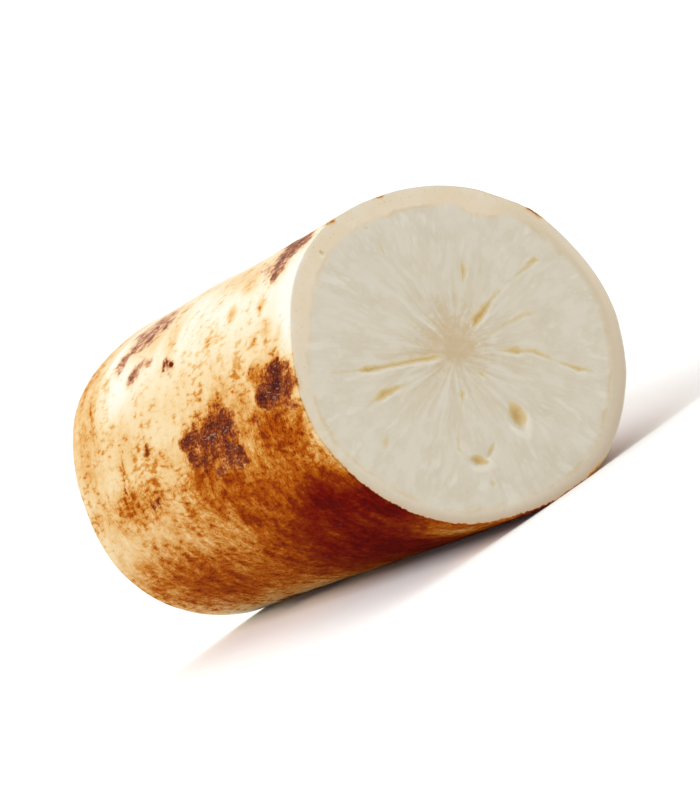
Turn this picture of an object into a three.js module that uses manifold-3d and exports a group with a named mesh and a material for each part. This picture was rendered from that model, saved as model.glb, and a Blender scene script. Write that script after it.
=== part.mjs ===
// One cut length of a taro root, lying on its side.
// Millimetres, +Z up. The root runs along Y: its near cut faces -Y, its far cut faces +Y.
// The origin is on the surface that the root rests on, below the middle of its bounding box.
import * as THREE from "three";
import { mergeVertices } from "three/addons/utils/BufferGeometryUtils.js";
import Module from "manifold-3d";

// Driving dimensions
const LENGTH = 148; // between the centres of the two cuts
const NEAR_RADIUS = 39.7; // mean radius at the near cut
const FAR_RADIUS = 39.2; // mean radius at the far cut, before the shoulder rounds it over
const NECK = { at: 0.4, width: 0.15, depth: 0.12 }; // a slight narrowing before the middle
const SWELL = { at: 0.63, width: 0.1, height: 0.18 }; // and a slight swelling after it
const NEAR_LEAN = THREE.MathUtils.degToRad(9.8); // the near cut leans back at its top
const SHOULDER_LENGTH = 10; // the skin rounds over before the far cut
const SHOULDER_DROP = 0.95;
const FLAT_DEPTH = 0.5; // how far the underside is pressed flat
const LOBE_TWIST = THREE.MathUtils.degToRad(-17); // how far the lobes turn from cut to cut

// Out-of-round lobes of the cross-section: how many, how high, and the angle of a crest.
// Angles run from the top (+Z) towards +X.
const LOBES = [
  { count: 2, height: 0.21, crest: -88 },
  { count: 3, height: 0.27, crest: -1 },
  { count: 4, height: 0.35, crest: -23 },
  { count: 5, height: 0.13, crest: -23 },
  { count: 6, height: 0.19, crest: -22 },
];

// Facets of the solid
const SEGMENTS = 72; // around
const STATIONS = 30; // along the body, without the shoulder
const SHOULDER_STATIONS = 4;

const bell = (t, { at, width }) => Math.exp(-(((t - at) / width) ** 2));

// Mean radius at a share t of the length.
function meanRadius(t) {
  const taper = THREE.MathUtils.lerp(NEAR_RADIUS, FAR_RADIUS, t);
  const shoulderStart = 1 - SHOULDER_LENGTH / LENGTH;
  const over = Math.max(0, (t - shoulderStart) / (1 - shoulderStart));
  const drop = SHOULDER_DROP * (1 - Math.sqrt(1 - Math.min(1, over) ** 2));
  return taper - NECK.depth * bell(t, NECK) + SWELL.height * bell(t, SWELL) - drop;
}

// Radius in the direction angle at a share t of the length.
function radius(angle, t) {
  let sum = meanRadius(t);
  for (const { count, height, crest } of LOBES) {
    const crestAngle = THREE.MathUtils.degToRad(crest) + LOBE_TWIST * t;
    sum += height * Math.cos(count * (angle - crestAngle));
  }
  return sum;
}

// The underside is level, so the axis is as high as the radius that points down.
const axisHeight = (t) => radius(Math.PI, t);

// The point at a share of the radius, an angle and a share of the length.
function rootPoint(share, angle, t) {
  const r = share * radius(angle, t);
  const x = r * Math.sin(angle);
  const z = r * Math.cos(angle);
  const y = t * LENGTH + (1 - t) * z * Math.tan(NEAR_LEAN);
  return new THREE.Vector3(x, y, z + axisHeight(t));
}

// A cylinder of unit radius and unit length, from a lathe profile that starts and ends on the axis.
function unitCylinder() {
  const shoulderStart = 1 - SHOULDER_LENGTH / LENGTH;
  const profile = [new THREE.Vector2(0, 0)];
  for (let i = 0; i <= STATIONS; i++) {
    profile.push(new THREE.Vector2(1, (shoulderStart * i) / STATIONS));
  }
  for (let i = 1; i <= SHOULDER_STATIONS; i++) {
    const turned = Math.sin((Math.PI / 2) * (i / SHOULDER_STATIONS));
    profile.push(new THREE.Vector2(1, THREE.MathUtils.lerp(shoulderStart, 1, turned)));
  }
  profile.push(new THREE.Vector2(0, 1));
  const lathe = new THREE.LatheGeometry(profile, SEGMENTS);
  lathe.deleteAttribute("normal");
  lathe.deleteAttribute("uv");
  return mergeVertices(lathe, 1e-5);
}

// The unit cylinder shaped into the root.
function rootGeometry() {
  const geometry = unitCylinder();
  const position = geometry.getAttribute("position");
  for (let i = 0; i < position.count; i++) {
    const across = new THREE.Vector2(position.getX(i), position.getZ(i));
    const angle = Math.atan2(across.x, across.y);
    const point = rootPoint(across.length(), angle, position.getY(i));
    position.setXYZ(i, point.x, point.y, point.z);
  }
  return geometry;
}

function toSolid(wasm, geometry) {
  return new wasm.Manifold(
    new wasm.Mesh({
      numProp: 3,
      vertProperties: geometry.getAttribute("position").array,
      triVerts: new Uint32Array(geometry.getIndex().array),
    }),
  );
}

function toGeometry(solid) {
  const mesh = solid.getMesh();
  const geometry = new THREE.BufferGeometry();
  geometry.setAttribute("position", new THREE.BufferAttribute(mesh.vertProperties, mesh.numProp));
  geometry.setIndex(new THREE.BufferAttribute(mesh.triVerts, 1));
  return geometry;
}

// A block that holds everything below the pressed underside.
function blockBelow(height) {
  const size = 4 * LENGTH;
  const block = new THREE.BoxGeometry(size, size, size);
  block.translate(0, 0, height - size / 2);
  block.deleteAttribute("normal");
  block.deleteAttribute("uv");
  return mergeVertices(block, 1e-5);
}

// The root with its underside pressed flat, moved so that the origin is below its middle.
function restingGeometry(wasm) {
  const whole = toSolid(wasm, rootGeometry());
  const pressed = whole.subtract(toSolid(wasm, blockBelow(FLAT_DEPTH)));
  const geometry = toGeometry(pressed);
  geometry.computeBoundingBox();
  const centre = geometry.boundingBox.getCenter(new THREE.Vector3());
  geometry.translate(-centre.x, -centre.y, -geometry.boundingBox.min.z);
  geometry.computeVertexNormals();
  return geometry;
}

const wasm = await Module();
wasm.setup();

const rootMaterial = new THREE.MeshStandardMaterial({
  color: 0xd9b27a, // ochre skin, blotched with brown, over cream flesh
  roughness: 0.55,
  metalness: 0,
});

const root = new THREE.Mesh(restingGeometry(wasm), rootMaterial);
root.name = "taro_root";

const part = new THREE.Group();
part.add(root);

export default part;
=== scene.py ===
"""A cut length of taro root: its blotched skin, its cut faces, and a plain studio.

The root's shape is worked out in millimetres, in the same way as the CAD part, and its mesh is made
in metres. It runs along Y. Angles around it run from the top (+Z) towards +X, and "along" is the
distance from the near cut.
"""
import math

import bmesh
import bpy
import numpy as np
from mathutils import Matrix, Vector, noise
from mathutils.geometry import delaunay_2d_cdt


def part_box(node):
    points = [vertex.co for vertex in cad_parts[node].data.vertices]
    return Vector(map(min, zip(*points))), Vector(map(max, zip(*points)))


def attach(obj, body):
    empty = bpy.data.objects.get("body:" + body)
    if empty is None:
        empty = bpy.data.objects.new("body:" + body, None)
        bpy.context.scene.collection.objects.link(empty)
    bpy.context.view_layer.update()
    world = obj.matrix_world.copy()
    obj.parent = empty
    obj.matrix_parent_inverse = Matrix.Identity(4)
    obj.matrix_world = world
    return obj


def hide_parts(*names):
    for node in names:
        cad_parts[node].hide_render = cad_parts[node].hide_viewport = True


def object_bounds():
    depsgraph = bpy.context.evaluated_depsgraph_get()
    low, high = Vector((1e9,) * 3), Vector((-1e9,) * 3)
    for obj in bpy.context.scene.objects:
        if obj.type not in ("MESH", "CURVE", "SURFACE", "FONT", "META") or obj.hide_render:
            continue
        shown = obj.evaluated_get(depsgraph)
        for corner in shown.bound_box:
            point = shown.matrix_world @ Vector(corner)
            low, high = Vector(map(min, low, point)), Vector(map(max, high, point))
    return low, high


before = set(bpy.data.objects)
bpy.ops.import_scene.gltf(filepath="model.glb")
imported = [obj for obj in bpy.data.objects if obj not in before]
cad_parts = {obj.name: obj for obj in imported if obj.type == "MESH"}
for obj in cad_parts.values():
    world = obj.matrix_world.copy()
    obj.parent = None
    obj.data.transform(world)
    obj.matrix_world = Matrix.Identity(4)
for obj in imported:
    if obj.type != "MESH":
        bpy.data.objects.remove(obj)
cad_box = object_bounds()

MM = 0.001

# The shape that the CAD part has (mm, degrees)
LENGTH = 148.0
NEAR_RADIUS = 39.7
FAR_RADIUS = 39.2
NECK = (0.4, 0.15, 0.12)  # share of the length, width, depth
SWELL = (0.63, 0.1, 0.18)  # share of the length, width, height
NEAR_LEAN = math.radians(9.8)
SHOULDER_LENGTH = 10.0
SHOULDER_DROP = 0.95
FLAT_DEPTH = 0.5
LOBE_TWIST = math.radians(-17)
LOBES = (  # how many, how high, the angle of a crest
    (2, 0.21, -88),
    (3, 0.27, -1),
    (4, 0.35, -23),
    (5, 0.13, -23),
    (6, 0.19, -22),
)

# The mesh
AROUND = 384
STATIONS = 150
RIM_ROUNDING = 0.35
RIM_RINGS = 4
RIM_MARGIN = 0.35  # how far inside the rim the points of a cut start
CAP_REACH = NEAR_RADIUS + 3  # of the grid that a cut's points are taken from
CAP_SPACINGS = (  # spacing, then the gaps (to a cleft, a pit or the rim) from and to which it is used
    (1.1, 2.6, 99.0),
    (0.5, 1.0, 2.6),
    (0.24, -99.0, 1.0),
)


def bell(t, at, width):
    return np.exp(-(((t - at) / width) ** 2))


def mean_radius(t):
    """Mean radius at a share t of the length."""
    taper = NEAR_RADIUS + (FAR_RADIUS - NEAR_RADIUS) * t
    shoulder_start = 1 - SHOULDER_LENGTH / LENGTH
    over = np.clip((t - shoulder_start) / (1 - shoulder_start), 0, 1)
    drop = SHOULDER_DROP * (1 - np.sqrt(1 - over**2))
    neck = NECK[2] * bell(t, *NECK[:2])
    swell = SWELL[2] * bell(t, *SWELL[:2])
    return taper - neck + swell - drop


def radius(angle, t):
    """Radius in the direction angle at a share t of the length."""
    total = mean_radius(t)
    for count, height, crest in LOBES:
        crest_angle = math.radians(crest) + LOBE_TWIST * t
        total = total + height * np.cos(count * (angle - crest_angle))
    return total


def root_point(r, angle, t):
    """The point at a radius, an angle and a share of the length, above a level underside."""
    x = r * np.sin(angle)
    z = r * np.cos(angle)
    y = t * LENGTH + (1 - t) * z * math.tan(NEAR_LEAN)
    return np.stack([x, y, z + radius(math.pi, t) - FLAT_DEPTH], axis=-1)


# Marks on the skin, and the painted shade of its underside: angle (degrees), along, half width around, half
# length along, turn (degrees), strength.
# A turn swings the mark's length from along the root towards higher angles.
SCAR_FIRMNESS = 3
SCARS = (  # dark, with firm edges
    (-60.5, 8.5, 3.2, 5.4, 0, 0.84),
    (-67.5, 8.5, 4.6, 8.0, 0, 0.84),
    (-67.8, 18, 3.7, 8.0, 0, 0.86),
    (-66.5, 11, 7.4, 12.0, 0, 0.68),
    (-75, 4, 1.6, 2.4, 0, 0.74),
    (-76.5, 28, 2.2, 1.6, 0, 0.68),
    (-58.5, 24.5, 1.2, 4.4, 0, 0.6),
    (-71, 45.5, 3.9, 6.2, 0, 0.9),
    (-81, 44.5, 4.8, 5.2, 0, 0.79),
    (-73, 48, 9.0, 12.0, 0, 0.67),
    (-74, 62, 7.0, 12.0, 0, 0.67),
    (-72, 57, 2.6, 9.0, 0, 0.74),
    (-70.5, 70, 2.2, 4.4, 0, 0.88),
    (-77.5, 68, 2.4, 3.2, 0, 0.82),
    (-83, 50, 2.2, 7.0, 0, 0.76),
    (-85, 57, 1.4, 4.4, 0, 0.76),
    (-42, 76, 1.0, 1.6, 0, 0.76),
    (-41.5, 80, 1.3, 1.1, 0, 0.84),
    (-67.8, 96, 1.5, 2.8, 0, 0.78),
    (-78, 114.5, 2.2, 1.8, 0, 0.7),
    (-86.5, 101, 1.6, 4.4, 0, 0.68),
    (-64.5, 130.5, 0.8, 1.5, 0, 0.58),
    (-9.5, 0, 1.5, 2.0, 0, 0.54),
    (11, 0, 1.4, 1.7, 0, 0.56),
    (65, 0, 3.6, 1.7, 0, 0.66),
    (27, 21, 2.0, 5.6, 15, 0.8),
    (24, 31, 1.4, 4.0, 15, 0.74),
    (31, 26, 4.4, 10.0, 12, 0.66),
    (64, 74, 2.4, 7.4, -10, 0.82),
    (73, 66, 3.4, 4.0, 0, 0.84),
    (82, 73, 2.2, 6.0, 10, 0.78),
    (72, 70, 8.6, 13.0, 15, 0.67),
    (96, 27, 2.4, 7.0, 20, 0.82),
    (109, 19, 2.8, 7.4, 0, 0.8),
    (104, 22, 8.0, 13.0, 25, 0.67),
    (48, 111, 1.6, 4.4, 0, 0.76),
    (57, 120, 1.0, 2.0, 20, 0.7),
    (128, 97, 3.4, 11.0, -6, 0.84),
    (136, 84, 4.0, 9.0, 0, 0.72),
    (122, 112, 1.6, 5.0, 0, 0.76),
    (116, 55, 1.2, 6.0, 0, 0.72),
    (84, 127, 1.4, 2.2, 0, 0.76),
    (12, 87, 1.1, 1.7, 0, 0.74),
    (43, 51, 0.9, 1.4, 0, 0.7),
    (89, 101, 1.0, 2.4, 0, 0.66),
    (-158, 118, 3.0, 6.6, 0, 0.8),
    (-166, 108, 5.6, 11.0, 0, 0.7),
)
SMUDGES = (  # greyish brown, with soft edges
    (-25.5, 15.5, 2.4, 3.4, 20, 0.7),
    (-18, 18, 3.0, 7.0, 45, 0.72),
    (-13, 12, 3.0, 7.0, 25, 0.74),
    (-17, 13, 2.6, 4.4, 30, 0.72),
    (-11, 21, 4.0, 8.0, 25, 0.56),
    (-5, 30, 4.0, 10.0, 20, 0.42),
    (-21, 24, 3.0, 6.0, 20, 0.4),
    (-17.5, 116, 2.0, 6.0, 15, 0.6),
    (-24.5, 111.5, 1.9, 3.4, 30, 0.64),
    (-24, 101, 2.0, 6.0, 0, 0.56),
    (-21, 94, 3.0, 6.0, 0, 0.46),
    (-28, 115, 1.8, 4.4, 0, 0.48),
    (-21, 105, 5.0, 11.0, 8, 0.48),
    (-13, 106, 5.0, 14.0, 8, 0.42),
    (-38.5, 100, 2.6, 5.6, -10, 0.58),
    (-36.5, 93, 1.4, 2.4, 0, 0.42),
    (-32, 116, 2.2, 2.6, 0, 0.46),
    (-42, 78, 2.2, 4.4, 0, 0.4),
    (12, 57, 1.8, 8.0, 12, 0.56),
    (17, 69, 3.0, 9.0, 15, 0.46),
    (21, 79, 1.8, 5.0, 15, 0.5),
    (38, 84, 2.2, 9.0, -14, 0.52),
    (33, 98, 3.0, 8.0, -14, 0.42),
    (60, 9, 2.4, 7.0, 0, 0.56),
    (55, 18, 2.4, 6.0, 10, 0.42),
    (78, 112, 2.2, 10.0, 8, 0.52),
    (84, 104, 3.6, 7.0, 8, 0.42),
    (24, 134, 2.2, 8.0, 0, 0.5),
    (7, 10, 2.4, 6.0, 20, 0.46),
)
# Orange stains, and painted shade: the darkest reds, under the root and along the bottom of the near cut,
# stand for shade where the root rests
STAINS_AND_SHADE = (  # orange to dark red, with soft edges
    (-135, 25, 30.0, 62.0, 0, 0.95),
    (-125, 110, 20.0, 50.0, 0, 0.66),
    (-107, 18, 9.5, 20.0, 0, 0.88),
    (-117, 3, 11.0, 10.0, 0, 0.9),
    (-169, 1, 7.0, 7.0, 0, 0.93),
    (-105, 57, 4.0, 7.0, 0, 0.74),
    (-94, 54, 10.0, 52.0, 0, 0.6),
    (-89, 54, 3.0, 6.0, 0, 0.62),
    (-82, 17, 9.0, 20.0, 0, 0.63),
    (-76, 24, 4.0, 6.0, 0, 0.58),
    (-77, 19, 5.0, 10.0, 0, 0.58),
    (-75.5, 28, 4.6, 1.5, 10, 0.68),
    (-79, 5, 4.4, 4.0, 0, 0.56),
    (-86, 9, 4.0, 7.0, 0, 0.62),
    (-66, 12, 8.0, 12.0, 0, 0.62),
    (-76, 54, 10.0, 22.0, 0, 0.61),
    (-82, 48, 5.0, 8.0, 0, 0.66),
    (-78, 62, 6.0, 10.0, 0, 0.62),
    (-64, 48, 4.0, 10.0, 0, 0.52),
    (-58, 42, 2.6, 7.0, 0, 0.38),
    (-60, 23, 3.0, 5.0, 0, 0.54),
    (-70, 33, 9.5, 9.0, 0, 0.47),
    (-62, 19, 3.0, 6.0, 0, 0.6),
    (-84, 68, 7.0, 17.0, 0, 0.56),
    (-66, 108, 8.0, 20.0, 0, 0.33),
    (-38, 131, 8.0, 5.0, 0, 0.36),
    (-86, 108, 8.5, 46.0, 0, 0.48),
    (-57, 60, 11.0, 90.0, 0, 0.26),
    (-30, 140, 24.0, 11.0, 0, 0.41),
    (-60, 135, 16.0, 14.0, 0, 0.41),
    (-58, 113, 5.0, 13.0, 0, 0.3),
    (-46, 130.5, 8.0, 0.9, -16, 0.54),
    (-70, 113, 6.5, 0.8, 11, 0.5),
    (-20, 104, 8.0, 20.0, 8, 0.4),
    (-14, 22, 7.0, 12.0, 20, 0.32),
    (-16, 46, 5.0, 26.0, 10, 0.32),
    (-6, 62, 5.0, 60.0, 0, 0.22),
    (-42, 78, 2.6, 5.0, 0, 0.36),
    (-30, 80, 6.0, 5.0, 0, 0.28),
    (-30, 93, 4.0, 5.0, 0, 0.24),
    (-68, 96, 3.0, 5.0, 0, 0.42),
    (-34, 37, 2.0, 3.2, 0, 0.4),
    (-37, 19, 2.0, 3.6, 0, 0.38),
    (-49, 21, 2.4, 3.6, 0, 0.36),
    (-46, 14, 2.4, 3.2, 0, 0.36),
    (-50, 7, 2.6, 3.6, 0, 0.38),
    (-40, 50, 2.2, 4.4, 0, 0.34),
    (-34, 77, 3.4, 3.6, 0, 0.38),
    (-23, 34, 3.0, 7.0, 20, 0.34),
    (-74, 114, 6.0, 3.0, 0, 0.42),
    (-73, 86, 5.0, 12.0, 0, 0.37),
    (170, 22, 20.0, 42.0, 0, 0.84),
    (164, 108, 20.0, 52.0, 0, 0.76),
    (140, 62, 18.0, 62.0, 0, 0.7),
    (112, 22, 13.0, 30.0, 0, 0.66),
    (116, 101, 10.0, 34.0, 0, 0.6),
    (84, 66, 13.0, 24.0, 15, 0.58),
    (66, 64, 4.0, 14.0, 0, 0.5),
    (86, 44, 5.0, 15.0, 0, 0.48),
    (51, 114, 7.0, 13.0, 0, 0.44),
    (31, 27, 6.0, 12.0, 0, 0.44),
    (90, 140, 28.0, 10.0, 0, 0.38),
    (60, 74, 16.0, 80.0, 0, 0.25),
    (24, 74, 7.0, 40.0, 0, 0.26),
    (40, 88, 6.0, 12.0, 0, 0.3),
    (15, 65, 5.0, 12.0, 10, 0.3),
    (79, 6, 9.0, 6.0, 0, 0.42),
    (80, 110, 5.0, 12.0, 0, 0.42),
    (47, 4, 7.0, 3.0, 0, 0.3),
)
PALES = (  # cleaner than the skin around them
    (-88, 0, 5.0, 2.4, 0, 0.18),
    (-46, 2, 9.0, 5.0, 0, 0.22),
    (-143, 8, 8.0, 9.0, 0, 0.45),
    (-87, 85, 4.5, 8.0, 0, 0.12),
    (96, 0, 14.0, 2.6, 0, 0.5),
    (124, 0, 14.0, 2.6, 0, 0.6),
    (150, 0, 10.0, 2.6, 0, 0.6),
    (-44, 112, 5.0, 8.0, 0, 0.14),
    (-24, 124, 4.0, 5.0, 0, 0.2),
    (45, 11, 5.0, 5.0, 0, 0.16),
    (29, 104, 6.0, 11.0, 0, 0.14),
    (88, 85, 4.0, 7.0, 0, 0.16),
    (62, 131, 5.0, 5.0, 0, 0.18),
)
FLECKS = (  # where short dashes crowd together
    (-78, 94, 8.0, 22.0, 0, 1.0),
    (-56, 38, 4.0, 9.0, 0, 0.9),
    (-50, 14, 4.0, 12.0, 0, 0.5),
    (-82, 20, 9.0, 16.0, 0, 1.0),
    (-86, 58, 7.0, 22.0, 0, 0.9),
    (-56, 114, 5.0, 10.0, 0, 0.7),
    (61, 92, 9.0, 22.0, 0, 1.0),
    (90, 54, 8.0, 20.0, 0, 0.9),
    (36, 46, 5.0, 12.0, 0, 0.8),
    (84, 22, 6.0, 16.0, 0, 0.9),
    (116, 124, 9.0, 14.0, 0, 0.8),
    (9, 108, 5.0, 12.0, 0, 0.6),
)

# How the outlines of marks stray: size of the wandering, how far around, how far along
WANDERINGS = ((6.0, 1.6, 3.0), (2.0, 1.0, 2.0))
AROUND_PLACE = np.array((60.0, 0.0, 0.0))  # where in the noise the wandering around is taken from
ONWARD_PLACE = np.array((0.0, 0.0, 460.0))

# Relief of the skin: size and height of each layer of lumps
SKIN_LUMPS = ((19.0, 0.35), (6.0, 0.12))
SCAR_LUMPS = ((1.6, 0.35), (0.8, 0.15))
SCAR_SINK = 0.12  # how far a scar lies below the skin

# A low crease round the root, deepest on one side
CREASE_ALONG = 129.5
CREASE_WAVE = 1.2
CREASE_WIDTH = 1.1
CREASE_DEPTH = 0.35
CREASE_SIDE = (math.radians(-52), 0.45)  # the angle where it is deepest, and its half width around

# Slight swellings at the near cut: angle and half width around (degrees), reach along, height
SWELLINGS = (
    (-10, 7, 24, 0.25),
    (22, 8, 20, 0.25),
    (65, 8, 24, 0.6),
    (104, 10, 20, 0.35),
)

# Clefts in a cut: points (across, up, width, strength) from end to end
NEAR_CLEFTS = (
    ((6.0, 2.8, 0.3, 0.3), (8.2, 4.0, 1.5, 1.0), (11.4, 4.9, 1.3, 0.9), (14.6, 6.0, 0.5, 0.45),
     (20.0, 7.0, 0.4, 0.3), (26.0, 7.6, 0.5, 0.5), (29.4, 8.0, 1.1, 0.6), (30.8, 7.0, 0.3, 0.2)),
    ((4.2, 2.0, 0.2, 0.15), (9.1, -0.5, 0.4, 0.35), (13.6, -0.4, 0.7, 0.4), (18.6, -1.0, 0.9, 0.44),
     (24.3, -2.8, 0.4, 0.1)),
    ((7.6, -4.2, 0.3, 0.2), (9.6, -5.3, 0.8, 0.5), (12.0, -6.8, 1.3, 0.75), (13.8, -7.9, 0.6, 0.4),
     (15.6, -9.2, 1.0, 0.6), (18.3, -13.3, 0.4, 0.35), (20.2, -15.8, 0.5, 0.5), (22.0, -18.0, 1.0, 0.75),
     (25.2, -20.8, 0.3, 0.1)),
    ((11.0, 12.4, 0.3, 0.2), (13.2, 14.9, 1.1, 0.65), (15.4, 17.6, 0.3, 0.1)),
    ((-3.8, 1.6, 0.4, 0.4), (-5.8, 2.4, 0.8, 0.85), (-12.7, 5.2, 0.7, 0.75), (-17.0, 6.7, 0.5, 0.75),
     (-20.6, 8.2, 1.1, 1.0), (-22.8, 9.4, 0.6, 0.4), (-27.3, 11.6, 1.0, 0.35), (-31.0, 14.1, 0.4, 0.05)),
    ((-14.4, 0.5, 0.3, 0.2), (-17.4, 1.3, 0.9, 0.65), (-21.2, 1.8, 1.5, 0.85), (-24.2, 1.6, 0.7, 0.35),
     (-30.0, 1.0, 0.4, 0.05)),
    ((0.2, -4.8, 0.3, 0.2), (1.5, -6.8, 0.8, 0.6), (2.8, -9.2, 0.3, 0.1)),
    ((-4.6, -6.6, 0.3, 0.2), (-5.4, -8.0, 0.9, 0.6), (-6.6, -9.6, 0.4, 0.3), (-9.1, -12.1, 0.4, 0.25),
     (-12.8, -15.8, 0.5, 0.35), (-13.9, -17.8, 0.6, 0.45), (-13.4, -19.6, 0.4, 0.2)),
    ((-25.6, -6.2, 1.0, 0.2), (-27.8, -7.6, 1.6, 0.35), (-29.4, -9.0, 0.8, 0.1)),
    ((0.6, 31.6, 0.6, 0.1), (-0.1, 28.4, 1.1, 0.35), (-0.8, 26.0, 0.5, 0.05)),
    ((-11.2, -26.2, 0.6, 0.1), (-12.2, -28.0, 1.3, 0.4), (-13.0, -29.6, 0.5, 0.1)),
    ((-12.6, 35.8, 0.2, 0.4), (-12.8, 35.5, 0.4, 0.8), (-12.9, 35.3, 0.2, 0.4)),
    ((0.1, 35.2, 0.2, 0.2), (-0.2, 34.8, 0.6, 0.5), (-0.4, 34.4, 0.2, 0.1)),
)
FAR_CLEFTS = (
    ((4.0, -2.0, 0.3, 0.3), (7.0, -3.1, 1.2, 0.9), (11.0, -4.0, 0.9, 0.7), (17.0, -5.5, 0.5, 0.5),
     (22.0, -6.2, 0.9, 0.6), (26.0, -6.0, 0.3, 0.1)),
    ((-3.0, 5.0, 0.3, 0.3), (-5.4, 9.6, 1.1, 0.9), (-7.4, 15.0, 0.5, 0.5), (-8.0, 21.0, 0.8, 0.6),
     (-8.4, 25.0, 0.3, 0.1)),
    ((-6.0, -3.0, 0.3, 0.2), (-11.0, -6.0, 1.1, 0.8), (-15.0, -7.8, 0.5, 0.4), (-20.0, -9.0, 0.6, 0.4),
     (-25.0, -11.6, 0.3, 0.05)),
    ((6.0, 8.0, 0.3, 0.2), (10.5, 14.0, 0.9, 0.7), (13.0, 18.0, 0.3, 0.1)),
    ((3.4, -9.0, 0.3, 0.2), (5.6, -15.0, 0.8, 0.5), (7.0, -19.0, 0.3, 0.1)),
    ((-12.0, 4.0, 0.4, 0.1), (-17.0, 6.6, 0.9, 0.5), (-21.6, 9.6, 0.3, 0.1)),
)
# Pits in a cut: across, up, half length, half width, turn (degrees), depth, strength
NEAR_PITS = (
    (2.4, -18.7, 4.0, 2.3, 80, 0.8, 1.0),
    (-11.9, -21.9, 2.6, 1.5, -45, 0.6, 0.9),
    (-8.3, -22.0, 2.8, 1.0, 25, 0.4, 0.4),
)
FAR_PITS = (
    (-6.0, -17.5, 3.0, 1.5, 70, 1.3, 0.9),
    (16.5, 12.0, 2.2, 1.2, 30, 1.1, 0.7),
)
FACE_LUMPS = (7.0, 0.06)  # size and height of the unevenness of a cut
CLEFT_DEPTH = 0.35  # where a cleft is at full strength
LIP_HEIGHT = 0.12  # how far the lip of a cleft or a pit stands up
RAGGEDNESS = 0.26  # how far the edges of clefts and pits stray
RAGGED_SIZE = 1.3  # from one bend of those edges to the next
# Painted shade: each pit's colour is darker towards its right side
PIT_SHADE = 0.3  # how much darker a pit is on its right than on its left
# The pale colour of a lip is a painted highlight, set below each cleft and pit
LIP_AND_HIGHLIGHT_DROP = 0.5  # how far below a cleft or a pit its lip lies

# How wide the cortex is round each cut: angle (degrees), width
NEAR_CORTEX = (
    (-180, 3.0), (-158, 3.2), (-139, 2.9), (-117, 3.4), (-90, 2.6), (-60, 3.2), (-50, 4.3),
    (-33, 4.7), (-17, 4.2), (1, 4.4), (16, 4.4), (30, 4.3), (38, 4.0), (43, 6.0), (50, 5.6),
    (58, 3.2), (71, 3.4), (93, 3.0), (112, 3.2), (135, 3.7), (159, 3.2),
)
FAR_CORTEX = ((-150, 3.4), (-90, 2.6), (-30, 3.8), (30, 3.0), (90, 4.2), (150, 3.0))


def patch_field(patches, angle, along, firmness=2):
    """The patches run together: each is at full strength in its middle and half strength at its edge."""
    total = np.zeros_like(angle)
    for at_angle, at_along, half_around, half_along, turn, strength in patches:
        across = (angle - math.radians(at_angle) + math.pi) % (2 * math.pi) - math.pi
        across = across * NEAR_RADIUS
        onward = along - at_along
        turned = math.radians(turn)
        length_share = (onward * math.cos(turned) + across * math.sin(turned)) / half_along
        width_share = (across * math.cos(turned) - onward * math.sin(turned)) / half_around
        share = np.hypot(length_share, width_share)
        total += (strength * 0.5 ** (share**firmness)) ** 5
    return total**0.2


def lumps(points, size, height):
    """Smooth noise of about this size, at each point."""
    return np.array([noise.noise(Vector(p) / size) for p in points]) * height


def wander(angle, along, points):
    """Angles and distances along that stray a little, which gives the marks and the painted shade uneven
    outlines.
    """
    around = sum(lumps(points + AROUND_PLACE, size, reach) for size, reach, _ in WANDERINGS)
    onward = sum(lumps(points + ONWARD_PLACE, size, reach) for size, _, reach in WANDERINGS)
    return angle + around / NEAR_RADIUS, along + onward


def side_relief(angle, along, points):
    """How far the skin stands proud of the plain shape."""
    swollen = sum(
        height * bell(angle, math.radians(at_angle), math.radians(half_around)) * bell(along, 0, reach)
        for at_angle, half_around, reach, height in SWELLINGS
    )
    scars = patch_field(SCARS, angle, along)
    rough = sum(lumps(points, size, height) for size, height in SCAR_LUMPS)
    relief = swollen
    for size, height in SKIN_LUMPS:
        relief = relief + lumps(points, size, height)
    relief += scars * (rough - SCAR_SINK)
    crease_along = CREASE_ALONG + CREASE_WAVE * np.sin(3 * angle)
    crease = bell(along, crease_along, CREASE_WIDTH) * (0.5 + 0.5 * bell(angle, *CREASE_SIDE))
    return relief - CREASE_DEPTH * crease


def ring_list():
    """Each ring of the side as (share of the length, inset): the near rim, the skin, then the far rim."""
    turns = [math.pi / 2 * k / (RIM_RINGS - 1) for k in range(RIM_RINGS)]
    near_rim = [(RIM_ROUNDING * (1 - math.cos(a)) / LENGTH, RIM_ROUNDING * (1 - math.sin(a))) for a in turns]
    far_rim = [(1 - t, inset) for t, inset in reversed(near_rim)]
    start = near_rim[-1][0]
    end = far_rim[0][0]
    skin = [(start + (end - start) * k / STATIONS, 0.0) for k in range(1, STATIONS)]
    return near_rim + skin + far_rim


def side_rings():
    """Points of the side, ring by ring, with the angle and the distance along of each."""
    rings = np.array(ring_list())
    angle, t = np.meshgrid(np.linspace(-math.pi, math.pi, AROUND, endpoint=False), rings[:, 0])
    inset = rings[:, 1][:, None]
    base = radius(angle, t) - inset
    along = t * LENGTH
    plain = root_point(base, angle, t).reshape(-1, 3)
    relief = side_relief(angle.ravel(), along.ravel(), plain).reshape(angle.shape)
    points = root_point(base + relief, angle, t)
    points[..., 2] = np.maximum(points[..., 2], 0)
    return points, angle, along


def stretch_of_cleft(u, v, start, end):
    """Distance from the edge of one tapered stretch of a cleft, with its half width and strength there."""
    direction = np.array(end[:2]) - np.array(start[:2])
    share = ((u - start[0]) * direction[0] + (v - start[1]) * direction[1]) / direction.dot(direction)
    share = np.clip(share, 0, 1)
    half = (start[2] + (end[2] - start[2]) * share) / 2
    strength = start[3] + (end[3] - start[3]) * share
    away = np.hypot(u - start[0] - share * direction[0], v - start[1] - share * direction[1])
    return away - half, half, strength


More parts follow.
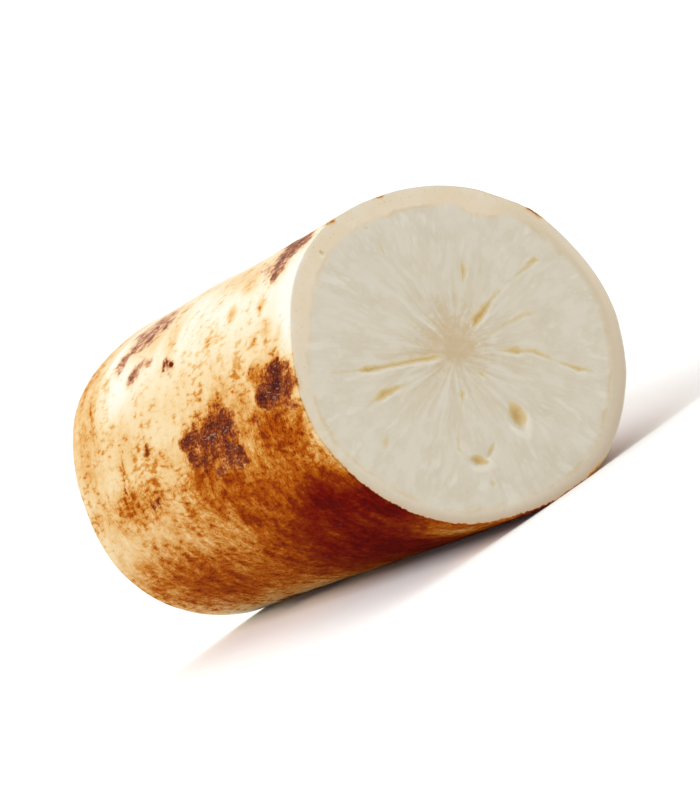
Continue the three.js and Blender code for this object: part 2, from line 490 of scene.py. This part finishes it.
def share_of_pit(u, v, pit):
    """0 in the middle of a pit, 1 at its edge and more outside it."""
    turned = math.radians(pit[4])
    lengthwise = (u - pit[0]) * math.cos(turned) + (v - pit[1]) * math.sin(turned)
    widthwise = (v - pit[1]) * math.cos(turned) - (u - pit[0]) * math.sin(turned)
    return (np.abs(lengthwise / pit[2]) ** 1.5 + np.abs(widthwise / pit[3]) ** 1.5) ** (1 / 1.5)


def stray(u, v):
    """Small wanderings, across and up, that make straight outlines ragged."""
    aside = np.stack([u, v, np.full_like(u, 3.0)], axis=-1)
    raised = np.stack([u, v, np.full_like(u, 9.0)], axis=-1)
    return lumps(aside, RAGGED_SIZE, RAGGEDNESS), lumps(raised, RAGGED_SIZE, RAGGEDNESS)


def lip_and_highlight_field(u, v, clefts, pits):
    """How strongly the raised lip below a cleft or a pit shows, with its pale painted highlight."""
    lip_and_highlight = np.zeros_like(u)
    for path in clefts:
        for start, end in zip(path, path[1:]):
            away, _, strength = stretch_of_cleft(u, v + LIP_AND_HIGHLIGHT_DROP, start, end)
            lip_and_highlight = np.maximum(lip_and_highlight, strength * bell(away, 0.1, 0.5))
    for pit in pits:
        away = (share_of_pit(u, v + LIP_AND_HIGHLIGHT_DROP, pit) - 1) * pit[3]
        below = np.clip(0.1 + (pit[1] - v) / pit[3], 0, 1)
        lip_and_highlight = np.maximum(lip_and_highlight, pit[6] * below * bell(away, 0.3, 0.8))
    return lip_and_highlight


def cut_features(u, v, clefts, pits):
    """Gap to the nearest cleft or pit (negative inside), how strongly it shows (with painted shade on one
    side of each pit), how strongly its raised lip and that lip's painted highlight show, and the depth.
    """
    aside, raised = stray(u, v)
    u = u + aside
    v = v + raised
    gap = np.full_like(u, 99.0)
    shown = np.zeros_like(u)
    depth = np.zeros_like(u)
    for path in clefts:
        for start, end in zip(path, path[1:]):
            away, half, strength = stretch_of_cleft(u, v, start, end)
            gap = np.minimum(gap, away)
            shown = np.maximum(shown, strength * np.clip(0.6 - away / 1.3, 0, 1))
            depth = np.maximum(depth, CLEFT_DEPTH * strength * np.clip(-away / half, 0, 1))
    for pit in pits:
        share = share_of_pit(u, v, pit)
        gap = np.minimum(gap, (share - 1) * pit[3])
        # Painted shade: darker towards the pit's right side
        shaded = 1.1 - share + PIT_SHADE * (u - pit[0]) / pit[3]
        edge = np.clip((1.25 - share) / 0.4, 0, 1)
        shown = np.maximum(shown, pit[6] * np.clip(shaded, 0, 1) * edge)
        depth = np.maximum(depth, pit[5] * np.clip((1 - share) * 1.5, 0, 1) ** 0.8)
    lip_and_highlight = lip_and_highlight_field(u, v, clefts, pits)
    return gap, shown, lip_and_highlight, depth - LIP_HEIGHT * lip_and_highlight


def hex_grid(spacing, reach):
    """Points of a triangular grid that covers a square."""
    rows = np.arange(-reach, reach, spacing * math.sqrt(3) / 2)
    columns = np.arange(-reach, reach, spacing)
    u, v = np.meshgrid(columns, rows)
    u = u + np.where(np.arange(len(rows)) % 2, spacing / 2, 0)[:, None]
    return u.ravel(), v.ravel()


def margin_inside(rim, u, v):
    """How far inside a cut's rim each point lies."""
    rim_angle = np.arctan2(rim[:, 0], rim[:, 1])
    order = np.argsort(rim_angle)
    rim_radius = np.hypot(rim[:, 0], rim[:, 1])
    reach = np.interp(np.arctan2(u, v), rim_angle[order], rim_radius[order], period=2 * math.pi)
    return reach - np.hypot(u, v)


def cap_points(rim, clefts, pits):
    """Points inside a cut's rim, closer together near the rim, the clefts and the pits."""
    chosen = []
    for spacing, from_gap, to_gap in CAP_SPACINGS:
        u, v = hex_grid(spacing, CAP_REACH)
        margin = margin_inside(rim, u, v)
        gap = cut_features(u, v, clefts, pits)[0]
        closeness = np.minimum(gap, np.maximum(margin, CAP_SPACINGS[-1][2] + 0.01))
        keep = (closeness > from_gap) & (closeness <= to_gap) & (margin > RIM_MARGIN)
        chosen.append(np.stack([u[keep], v[keep]], axis=-1))
    return np.concatenate(chosen)


def cap_mesh(rim, clefts, pits, cortex):
    """A cut's surface inside its rim: points (across, up), triangles, depths, and what its material needs."""
    flat = np.concatenate([rim, cap_points(rim, clefts, pits)])
    edges = [(k, (k + 1) % len(rim)) for k in range(len(rim))]
    _, _, triangles, sources, _, _ = delaunay_2d_cdt([Vector(p) for p in flat], edges, [], 1, 1e-7)
    faces = [tuple(sources[k][0] for k in triangle) for triangle in triangles]
    u, v = flat.T
    _, shown, lip_and_highlight, depth = cut_features(u, v, clefts, pits)
    depth = depth + lumps(np.pad(flat, ((0, 0), (0, 1))), *FACE_LUMPS)
    margin = margin_inside(rim, u, v)
    degrees, width = np.array(cortex).T
    cortex_width = np.interp(np.arctan2(u, v), np.radians(degrees), width, period=2 * math.pi)
    return flat, faces, depth, {"cleft_and_pit_shade": shown, "lip_and_highlight": lip_and_highlight, "margin": margin, "cortex": cortex_width - margin}


def side_faces(ring_count):
    """Quads between each ring of the side and the next."""
    here = np.arange(AROUND)
    onward = (here + 1) % AROUND
    faces = []
    for ring in range(ring_count - 1):
        low = ring * AROUND
        high = low + AROUND
        faces += zip(low + here, low + onward, high + onward, high + here)
    return faces


def skin_fields(angle, along, points):
    """How strongly each kind of mark shows at points of the skin; the stains also carry painted shade on the
    underside.
    """
    strayed = wander(angle, along, points)
    return {
        "scar": patch_field(SCARS, *strayed, SCAR_FIRMNESS),
        "smudge": patch_field(SMUDGES, *strayed),
        "stain_and_shade": patch_field(STAINS_AND_SHADE, *strayed),
        "pale": patch_field(PALES, angle, along),
        "fleck": patch_field(FLECKS, angle, along),
    }


def cut_points(flat, depth, t, lean):
    """Points this deep in the cut at a share t of the length, from how far across and up they are."""
    inward = depth if t == 0 else -depth
    axis_height = radius(math.pi, t) - FLAT_DEPTH
    y = t * LENGTH + flat[:, 1] * math.sin(lean) + inward * math.cos(lean)
    z = axis_height + flat[:, 1] * math.cos(lean) - inward * math.sin(lean)
    return np.stack([flat[:, 0], y, np.maximum(z, 0)], axis=-1)


def with_cut(values, rim, cut_values):
    """Values at points, with those of a cut put in at its rim and added at the end."""
    values[rim] = cut_values[:AROUND]
    return np.concatenate([values, cut_values[AROUND:]])


def root_mesh():
    """The whole root as one closed mesh, with what its materials need stored at its points."""
    rings, angle, along = side_rings()
    points = rings.reshape(-1, 3)
    angle = angle.ravel()
    along = along.ravel()
    faces = side_faces(len(rings))
    skin_faces = len(faces)
    fields = {name: np.zeros(len(points)) for name in ("cleft_and_pit_shade", "lip_and_highlight", "margin", "cortex")}
    fields["cut_place"] = np.zeros_like(points)
    cuts = (
        (0, 0.0, NEAR_LEAN, NEAR_CLEFTS, NEAR_PITS, NEAR_CORTEX),
        (len(rings) - 1, 1.0, 0.0, FAR_CLEFTS, FAR_PITS, FAR_CORTEX),
    )
    for ring, t, lean, clefts, pits, cortex in cuts:
        axis_height = radius(math.pi, t) - FLAT_DEPTH
        outline = np.stack([rings[ring][:, 0], (rings[ring][:, 2] - axis_height) / math.cos(lean)], axis=-1)
        flat, triangles, depth, values = cap_mesh(outline, clefts, pits, cortex)
        values["cut_place"] = np.column_stack([flat, np.full(len(flat), t)])
        rim = ring * AROUND + np.arange(AROUND)
        index = np.concatenate([rim, len(points) + np.arange(len(flat) - AROUND)])
        faces += [tuple(index[list(triangle)]) for triangle in triangles]
        fields = {name: with_cut(old, rim, values[name]) for name, old in fields.items()}
        u, v = flat[AROUND:].T
        points = np.concatenate([points, cut_points(flat, depth, t, lean)[AROUND:]])
        angle = np.concatenate([angle, np.arctan2(u, v)])
        along = np.concatenate([along, np.full(len(u), t * LENGTH)])
    return points, faces, skin_faces, {**skin_fields(angle, along, points), **fields}


def srgb(red, green, blue):
    """A display colour, 0 to 255, as linear light."""
    return tuple(((c / 255 + 0.055) / 1.055) ** 2.4 for c in (red, green, blue)) + (1.0,)


# Colours of the skin, from clean to stained; the darkest reds are painted shade under the root and below the
# near cut
STAIN_AND_SHADE_COLOURS = (
    (0.0, srgb(215, 211, 201)),
    (0.12, srgb(213, 202, 176)),
    (0.24, srgb(208, 184, 140)),
    (0.36, srgb(200, 160, 100)),
    (0.48, srgb(182, 122, 44)),
    (0.6, srgb(156, 76, 6)),
    (0.74, srgb(118, 40, 3)),
    (0.88, srgb(100, 13, 1)),
    (1.0, srgb(76, 7, 2)),
)
SCAR_COLOURS = (
    (0.3, srgb(198, 152, 100)),
    (0.45, srgb(168, 104, 50)),
    (0.6, srgb(136, 68, 28)),
    (0.78, srgb(98, 40, 20)),
    (1.0, srgb(58, 22, 20)),
)
# Pale flecks of peeled skin in the scars, partly painted glints
SCAR_PEEL_AND_GLINT = srgb(190, 146, 122)
SMUDGE_COLOURS = (
    (0.2, srgb(196, 172, 146)),
    (0.4, srgb(178, 125, 92)),
    (0.55, srgb(146, 97, 72)),
    (0.75, srgb(104, 72, 62)),
)

# Colours of the cuts
FLESH = srgb(215, 208, 191)
FLESH_SHADE = srgb(206, 196, 175)
FLESH_WHITE = srgb(223, 218, 204)
FLESH_FIBRE = srgb(202, 187, 157)
PITH = srgb(200, 178, 141)
PITH_MIDDLE = (-0.6, 1.0, 0.0)
PITH_REACH = (1.1, 1.9, 0.0)  # how much farther the pith reaches this way than the other
CORTEX = srgb(226, 209, 180)
CORTEX_PALE = srgb(229, 217, 194)
# Painted shade for the cortex on the cut's right side
CORTEX_SHADE = srgb(198, 183, 155)
CORTEX_EDGE = srgb(196, 178, 156)
CLEFT = srgb(204, 174, 116)
CLEFT_COLOURS = (
    (0.1, srgb(212, 202, 174)),
    (0.4, srgb(209, 190, 147)),
    (0.7, srgb(204, 177, 119)),
    (1.0, srgb(194, 160, 94)),
)
# Painted highlight on the raised lip below each cleft and pit
LIP_HIGHLIGHT = srgb(226, 220, 204)
TINGE = srgb(214, 170, 104)


class Recipe:
    """A material's nodes, made by short calls. A value is a number, a colour or another node's output."""

    def __init__(self, name):
        self.material = bpy.data.materials.new(name)
        self.material.use_nodes = True
        self.tree = self.material.node_tree
        self.tree.nodes.clear()

    def node(self, kind, inputs, **settings):
        made = self.tree.nodes.new(kind)
        for name, value in settings.items():
            setattr(made, name, value)
        for key, value in inputs.items():
            if isinstance(value, bpy.types.NodeSocket):
                self.tree.links.new(value, made.inputs[key])
            else:
                made.inputs[key].default_value = value
        return made

    def stored(self, name, output="Fac"):
        return self.node("ShaderNodeAttribute", {}, attribute_name=name).outputs[output]

    def millimetres(self):
        place = self.node("ShaderNodeTexCoord", {}).outputs["Object"]
        return self.vector("SCALE", place, Scale=1 / MM)

    def vector(self, operation, first, second=None, **inputs):
        given = {0: first, **inputs}
        if second is not None:
            given[1] = second
        made = self.node("ShaderNodeVectorMath", given, operation=operation)
        return made.outputs["Value" if operation in ("LENGTH", "DOT_PRODUCT") else "Vector"]

    def sum(self, first, second):
        return self.node("ShaderNodeMath", {0: first, 1: second}, operation="ADD").outputs[0]

    def product(self, first, second):
        return self.node("ShaderNodeMath", {0: first, 1: second}, operation="MULTIPLY").outputs[0]

    def higher(self, first, second):
        return self.node("ShaderNodeMath", {0: first, 1: second}, operation="MAXIMUM").outputs[0]

    def centred(self, value, height):
        """A noise's value, spread evenly about zero and made this high."""
        return self.product(self.sum(value, -0.5), height)

    def ramp(self, value, stops):
        made = self.node("ShaderNodeValToRGB", {0: value})
        elements = made.color_ramp.elements
        while len(elements) < len(stops):
            elements.new(1.0)
        for element, (position, colour) in zip(elements, stops):
            element.position = position
            element.color = colour
        return made.outputs[0]

    def noise(self, place, size, detail=2.0, roughness=0.5, output="Fac"):
        inputs = {"Vector": place, "Scale": 1 / size, "Detail": detail, "Roughness": roughness}
        return self.node("ShaderNodeTexNoise", inputs).outputs[output]

    def step(self, value, low, high, top=1.0):
        """0 where the value is low, top where it is high, and smooth between. low may be above high."""
        inputs = {"Value": value, "From Min": low, "From Max": high, "To Max": top}
        return self.node("ShaderNodeMapRange", inputs, interpolation_type="SMOOTHSTEP").outputs[0]

    def mix(self, factor, first, second):
        return self.node("ShaderNodeMix", {0: factor, 6: first, 7: second}, data_type="RGBA").outputs[2]

    def blend(self, factor, first, second):
        return self.node("ShaderNodeMix", {0: factor, 2: first, 3: second}, data_type="FLOAT").outputs[0]

    def bump(self, height, distance, normal=None):
        """Relief of this height in millimetres per unit."""
        inputs = {"Height": height, "Distance": distance * MM}
        if normal is not None:
            inputs["Normal"] = normal
        return self.node("ShaderNodeBump", inputs).outputs[0]

    def finish(self, **inputs):
        named = {name.replace("_", " "): value for name, value in inputs.items()}
        surface = self.node("ShaderNodeBsdfPrincipled", named)
        output = self.node("ShaderNodeOutputMaterial", {})
        self.tree.links.new(surface.outputs[0], output.inputs[0])
        return self.material


def skin_material():
    r = Recipe("taro_skin")
    place = r.millimetres()
    drift = r.vector("SUBTRACT", r.noise(place, 22.0, 1.0, output="Color"), (0.5, 0.5, 0.5))
    flowing = r.vector("ADD", place, r.vector("SCALE", drift, Scale=4.0))
    fibres = r.vector("MULTIPLY", flowing, (1.0, 0.24, 1.0))
    dashes = r.vector("MULTIPLY", flowing, (1.0, 0.3, 1.0))

    broad = r.noise(place, 18.0, 2.0)
    middling = r.noise(place, 4.5, 4.0, 0.6)
    dashed = r.noise(dashes, 1.1, 3.0, 0.5)
    thread = r.noise(fibres, 0.7, 3.0, 0.6)
    speck = r.noise(place, 0.8, 3.0, 0.6)
    freckle = r.noise(place, 0.5, 1.0)

    # How dark the skin is: its marks and the painted shade on its underside, ragged at their edges, over a
    # faint unevenness
    scar = r.stored("scar")
    smudge = r.stored("smudge")
    pale = r.stored("pale")
    marks_and_shade = r.higher(r.higher(scar, smudge), r.stored("stain_and_shade"))
    ragged = r.sum(r.sum(r.centred(middling, 0.5), r.centred(dashed, 0.3)), r.centred(speck, 0.3))
    dark = r.sum(marks_and_shade, r.product(ragged, r.step(marks_and_shade, 0.05, 0.55)))
    ground = r.sum(r.centred(broad, 0.5), r.sum(r.centred(middling, 0.4), r.centred(thread, 0.2)))
    ground = r.sum(ground, 0.05)
    dark = r.higher(dark, ground)

    # Dashes that run along the root, crowded in places, and freckles on the stains. Both are lost in the dark
    crowd = r.sum(r.sum(r.centred(broad, 0.5), r.centred(middling, 0.3)), r.product(r.stored("fleck"), 0.06))
    level = r.sum(dashed, crowd)
    dash = r.sum(r.step(level, 0.54, 0.66, 0.06), r.step(level, 0.62, 0.74, 0.1))
    dark = r.sum(dark, r.product(dash, r.step(marks_and_shade, 0.75, 0.3)))
    freckled = r.product(r.step(freckle, 0.6, 0.7, 0.26), r.step(marks_and_shade, 0.36, 0.54))
    dark = r.sum(dark, r.product(freckled, r.step(marks_and_shade, 0.85, 0.6)))
    dark = r.sum(dark, r.product(pale, -0.8))

    # Smudges are a greyer brown than stains, and scars are fibrous
    frayed = r.sum(r.centred(dashed, 0.9), r.centred(middling, 0.4))
    scarred = r.step(r.sum(scar, frayed), 0.34, 0.74)
    smudged = r.step(r.sum(smudge, frayed), 0.16, 0.44)
    fibrous = r.sum(r.centred(thread, 1.0), r.sum(r.centred(middling, 0.5), r.centred(speck, 0.5)))
    dark = r.sum(dark, r.product(r.higher(scarred, smudged), fibrous))
    base = r.ramp(dark, STAIN_AND_SHADE_COLOURS)
    base = r.mix(smudged, base, r.ramp(dark, SMUDGE_COLOURS))
    base = r.mix(scarred, base, r.ramp(dark, SCAR_COLOURS))
    # Pale flecks of peel in the scars, partly painted glints
    peel_and_glint = r.product(r.step(scar, 0.62, 0.84), r.step(thread, 0.56, 0.68, 0.5))
    base = r.mix(peel_and_glint, base, SCAR_PEEL_AND_GLINT)

    stained = r.step(dark, 0.25, 0.6)
    relief = r.sum(r.product(thread, 0.4), r.product(speck, 0.25))
    relief = r.sum(relief, r.product(dash, -0.5))
    relief = r.sum(relief, r.product(scarred, r.product(dashed, 1.2)))
    return r.finish(
        Base_Color=base,
        Roughness=r.blend(stained, 0.5, 0.85),
        Specular_IOR_Level=0.01,
        Coat_Weight=r.blend(stained, 0.3, 0.0),
        Coat_Roughness=0.3,
        Coat_IOR=1.4,
        Normal=r.bump(relief, 0.16),
    )


def flesh_material():
    r = Recipe("taro_flesh")
    cut = r.stored("cut_place", "Vector")
    drift = r.vector("SUBTRACT", r.noise(cut, 16.0, 1.0, output="Color"), (0.5, 0.5, 0.5))
    drifted = r.vector("ADD", r.vector("SUBTRACT", cut, PITH_MIDDLE), r.vector("SCALE", drift, Scale=5.0))
    bent = r.vector("MULTIPLY", drifted, (1.0, 1.0, 0.0))
    reach = r.vector("LENGTH", bent)
    outward = r.vector("NORMALIZE", bent)
    split = r.node("ShaderNodeSeparateXYZ", {0: outward})

    def rays(turns, stretch, detail):
        """Noise drawn out away from the middle, finer around it the more turns there are."""
        inputs = {
            0: r.product(split.outputs[0], turns),
            1: r.product(split.outputs[1], turns),
            2: r.product(reach, stretch),
        }
        place = r.node("ShaderNodeCombineXYZ", inputs).outputs[0]
        return r.noise(place, 1.0, detail, 0.55)

    spokes = rays(4.5, 0.05, 3.0)
    strands = rays(10.0, 0.12, 4.0)
    cloud = r.noise(cut, 8.0, 3.0)
    dapple = r.noise(cut, 2.4, 3.0, 0.6)
    grain = r.noise(cut, 0.7, 3.0, 0.6)

    # White and beige strands over an uneven cream
    uneven = r.sum(r.product(cloud, 0.3), r.sum(r.product(dapple, 0.2), r.product(strands, 0.5)))
    base = r.mix(r.step(uneven, 0.42, 0.6), FLESH, FLESH_SHADE)
    whitish = r.sum(r.product(strands, 0.8), r.product(dapple, 0.2))
    outer = r.step(reach, 7.0, 18.0)
    base = r.mix(r.product(outer, r.step(whitish, 0.5, 0.66, 0.75)), base, FLESH_WHITE)
    middle = r.product(r.step(reach, 33.0, 9.0), r.step(reach, 3.0, 6.0))
    beige = r.sum(r.step(spokes, 0.42, 0.66, 0.35), r.step(strands, 0.48, 0.62, 0.4))
    base = r.mix(r.product(middle, beige), base, FLESH_FIBRE)

    # The pith: a soft beige middle with a ragged edge
    straggle = r.sum(r.centred(spokes, -14.0), r.centred(strands, -3.0))
    longer = r.product(r.vector("DOT_PRODUCT", outward, PITH_REACH), -1.0)
    edge = r.sum(reach, r.product(longer, r.step(reach, 0.5, 4.0)))
    edge = r.sum(edge, r.product(straggle, r.step(reach, 2.0, 8.0)))
    edge = r.sum(edge, r.sum(r.centred(dapple, -16.0), r.centred(grain, -6.0)))
    base = r.mix(r.step(edge, 11.0, 0.0, 0.95), base, PITH)

    # The cortex: a band of a warmer cream, plainest at the top. Painted shade darkens it on the cut's right
    # side, a little less at the rim, and its bottom edge is greyer
    facing = r.sum(r.product(split.outputs[0], 0.64), r.product(split.outputs[1], 0.77))
    strength = r.sum(r.step(facing, -0.7, 0.3, 0.55), 0.35)
    depth = r.sum(r.stored("cortex"), r.centred(dapple, 2.0))
    aside = r.sum(r.product(split.outputs[0], 0.9), r.product(split.outputs[1], -0.42))
    # Painted shade on the cut's right side
    shaded = r.step(aside, 0.3, 0.95, 0.75)
    cortex = r.mix(r.step(cloud, 0.4, 0.62, 0.7), CORTEX, CORTEX_PALE)
    cortex = r.mix(shaded, cortex, CORTEX_SHADE)
    base = r.mix(r.product(r.step(depth, -1.2, 1.0), strength), base, cortex)
    outside = r.product(r.step(depth, 2.2, 4.4), r.step(dapple, 0.6, 0.4, 0.5))
    base = r.mix(outside, base, FLESH_WHITE)
    pores = r.product(r.step(depth, 0.2, 1.2), r.step(grain, 0.6, 0.7, 0.5))
    base = r.mix(pores, base, CLEFT)
    margin = r.stored("margin")
    base = r.mix(r.product(r.step(margin, 2.6, 0.8, 0.8), shaded), base, CORTEX_PALE)
    underneath = r.product(r.step(split.outputs[1], 0.1, -0.8), r.step(margin, 3.4, 0.5, 0.85))
    base = r.mix(underneath, base, CORTEX_EDGE)
    line = r.product(r.step(depth, -0.9, -0.1), r.step(depth, 0.7, 0.0))
    base = r.mix(r.product(line, r.step(cloud, 0.4, 0.6, 0.35)), base, CLEFT)

    # Clefts and pits, with painted shade on one side of each pit, and raised lips whose pale colour is a
    # painted highlight below them
    base = r.mix(r.step(r.stored("lip_and_highlight"), 0.1, 0.9, 0.7), base, LIP_HIGHLIGHT)
    cleft_and_pit_shade = r.sum(r.stored("cleft_and_pit_shade"), r.centred(dapple, 0.5))
    cleft_and_pit_shade = r.product(cleft_and_pit_shade, r.step(r.stored("cleft_and_pit_shade"), 0.0, 0.2))
    base = r.mix(r.step(cleft_and_pit_shade, 0.05, 0.4, 0.95), base, r.ramp(cleft_and_pit_shade, CLEFT_COLOURS))

    # The ragged edge of the skin, in its stain colours and the painted shade of the underside, and the tinge
    # that stained skin leaves beside it
    marks_and_shade = r.higher(r.higher(r.stored("scar"), r.stored("smudge")), r.stored("stain_and_shade"))
    marks_and_shade = r.sum(marks_and_shade, r.product(r.stored("pale"), -0.8))
    frayed = r.sum(margin, r.sum(r.centred(dapple, 1.0), r.centred(grain, 0.8)))
    tinge = r.product(r.step(frayed, 1.3, 0.1, 0.45), r.step(marks_and_shade, 0.2, 0.5))
    base = r.mix(tinge, base, TINGE)
    rind = r.product(r.step(frayed, 0.3, 0.1), r.step(marks_and_shade, 0.2, 0.4))
    base = r.mix(rind, base, r.ramp(r.sum(marks_and_shade, r.centred(dapple, 0.4)), STAIN_AND_SHADE_COLOURS))

    relief = r.sum(r.product(strands, 0.6), r.sum(r.product(dapple, 0.4), r.product(grain, 0.25)))
    return r.finish(
        Base_Color=base,
        Roughness=r.blend(r.step(grain, 0.4, 0.6), 0.36, 0.48),
        Specular_IOR_Level=0.3,
        Subsurface_Weight=0.25,
        Subsurface_Radius=(1.0, 0.8, 0.55),
        Subsurface_Scale=1.5 * MM,
        Normal=r.bump(relief, 0.1),
    )


def store_fields(mesh, fields):
    """Store what the materials need at the mesh's points."""
    for name, values in fields.items():
        kind, key = ("FLOAT", "value") if values.ndim == 1 else ("FLOAT_VECTOR", "vector")
        stored = mesh.attributes.new(name, kind, "POINT")
        stored.data.foreach_set(key, values.astype(np.float32).ravel())


def make_root():
    points, faces, skin_faces, fields = root_mesh()
    low, high = (np.array(corner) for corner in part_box("taro_root"))
    points = points * MM
    middle = (points.min(axis=0) + points.max(axis=0)) / 2
    shift = (low + high) / 2 - middle
    shift[2] = low[2] - points[:, 2].min()
    mesh = bpy.data.meshes.new("taro_root_surface")
    mesh.from_pydata((points + shift).tolist(), [], [tuple(int(k) for k in face) for face in faces])
    store_fields(mesh, fields)
    mesh.materials.append(skin_material())
    mesh.materials.append(flesh_material())
    material_index = np.zeros(len(mesh.polygons), dtype=np.int32)
    material_index[skin_faces:] = 1
    mesh.polygons.foreach_set("material_index", material_index)
    mesh.polygons.foreach_set("use_smooth", np.ones(len(mesh.polygons), dtype=bool))
    root = bpy.data.objects.new("taro_root_surface", mesh)
    bpy.context.scene.collection.objects.link(root)
    turn_faces_out(root)
    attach(root, "root")
    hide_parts("taro_root")


def turn_faces_out(piece):
    """Make the faces of a closed piece point outwards."""
    shape = bmesh.new()
    shape.from_mesh(piece.data)
    bmesh.ops.recalc_face_normals(shape, faces=shape.faces)
    shape.to_mesh(piece.data)
    shape.free()


# The camera, placed around the middle of the root. The focal length (mm) fills the frame with the root:
# 99 mm would draw it as large as in the photograph.
AZIMUTH = math.radians(-25.2)
ELEVATION = math.radians(4.0)
ROLL = math.radians(-31.9)
DISTANCE = 0.991
FOCAL_LENGTH = 188.0
SHIFT = (0.023, 0.007)

# The stage (m), measured away from the camera and up from the middle of the root's underside
FLOOR_FRONT = -2.6
WALL = 2.2
WALL_TOP = 2.4
BEND_RADIUS = 0.9
BEND_STEPS = 24
STAGE_HALF_WIDTH = 3.0
PAPER = (0.9, 0.895, 0.885, 1.0)

# Lights: name, place and target (to the camera's right, away from it, up), size, power, colour
LIGHTS = (
    ("bank", (0.0, 0.5, 2.0), (0.0, 0.5, 0.0), 3.2, 22.0, (1.0, 1.0, 1.0)),
    ("key", (-0.68, -0.32, 0.75), (0.0, 0.0, 0.0), 0.6, 6.0, (1.0, 0.98, 0.95)),
    ("wash", (0.0, 0.9, 2.1), (0.0, 2.2, 0.7), 1.2, 14.0, (1.0, 1.0, 1.0)),
)
WORLD_LIGHT = 0.68


def make_camera():
    middle = (Vector(cad_box[0]) + Vector(cad_box[1])) / 2
    back = Vector(
        (
            math.sin(AZIMUTH) * math.cos(ELEVATION),
            -math.cos(AZIMUTH) * math.cos(ELEVATION),
            math.sin(ELEVATION),
        )
    )
    data = bpy.data.cameras.new("camera")
    data.lens = FOCAL_LENGTH
    data.clip_start = 0.05
    data.shift_x, data.shift_y = SHIFT
    camera = bpy.data.objects.new("camera", data)
    camera.location = middle + back * DISTANCE
    level = back.to_track_quat("Z", "Y").to_matrix()
    camera.rotation_euler = (level @ Matrix.Rotation(ROLL, 3, "Z")).to_euler()
    bpy.context.scene.collection.objects.link(camera)
    bpy.context.scene.camera = camera


def place_from_camera(right, away, up):
    """The place this far to the camera's right, away from it and up, from the root's underside."""
    x = right * math.cos(AZIMUTH) - away * math.sin(AZIMUTH)
    y = right * math.sin(AZIMUTH) + away * math.cos(AZIMUTH)
    return Vector((x, y, up + cad_box[0][2]))


def stage_profile():
    """The floor and wall seen from the side, as (away from the camera, up)."""
    bend_start = WALL - BEND_RADIUS
    profile = [(FLOOR_FRONT, 0.0), (bend_start, 0.0)]
    for k in range(1, BEND_STEPS + 1):
        turn = math.pi / 2 * k / BEND_STEPS
        profile.append((bend_start + BEND_RADIUS * math.sin(turn), BEND_RADIUS * (1 - math.cos(turn))))
    return profile + [(WALL, WALL_TOP)]


def make_stage():
    """A floor that curves up into a wall behind the root."""
    profile = stage_profile()
    sides = (-STAGE_HALF_WIDTH, STAGE_HALF_WIDTH)
    points = [place_from_camera(side, away, up) for away, up in profile for side in sides]
    faces = [(2 * k, 2 * k + 1, 2 * k + 3, 2 * k + 2) for k in range(len(profile) - 1)]
    mesh = bpy.data.meshes.new("stage")
    mesh.from_pydata(points, [], faces)
    for face in mesh.polygons:
        face.use_smooth = True
    r = Recipe("stage_paper")
    mesh.materials.append(r.finish(Base_Color=PAPER, Roughness=0.9, Specular_IOR_Level=0.1))
    stage = bpy.data.objects.new("stage", mesh)
    bpy.context.scene.collection.objects.link(stage)


def make_light(name, place, target, size, power, colour):
    data = bpy.data.lights.new(name, "AREA")
    data.size = size
    data.energy = power
    data.color = colour
    light = bpy.data.objects.new(name, data)
    light.location = place_from_camera(*place)
    direction = light.location - place_from_camera(*target)
    light.rotation_euler = direction.to_track_quat("Z", "Y").to_euler()
    bpy.context.scene.collection.objects.link(light)


def make_lights():
    for light in LIGHTS:
        make_light(*light)
    world = bpy.data.worlds.new("studio")
    world.use_nodes = True
    background = world.node_tree.nodes["Background"]
    background.inputs["Color"].default_value = (1.0, 1.0, 1.0, 1.0)
    background.inputs["Strength"].default_value = WORLD_LIGHT
    bpy.context.scene.world = world


make_root()
make_camera()
make_stage()
make_lights()
bpy.context.scene.view_settings.view_transform = "Standard"
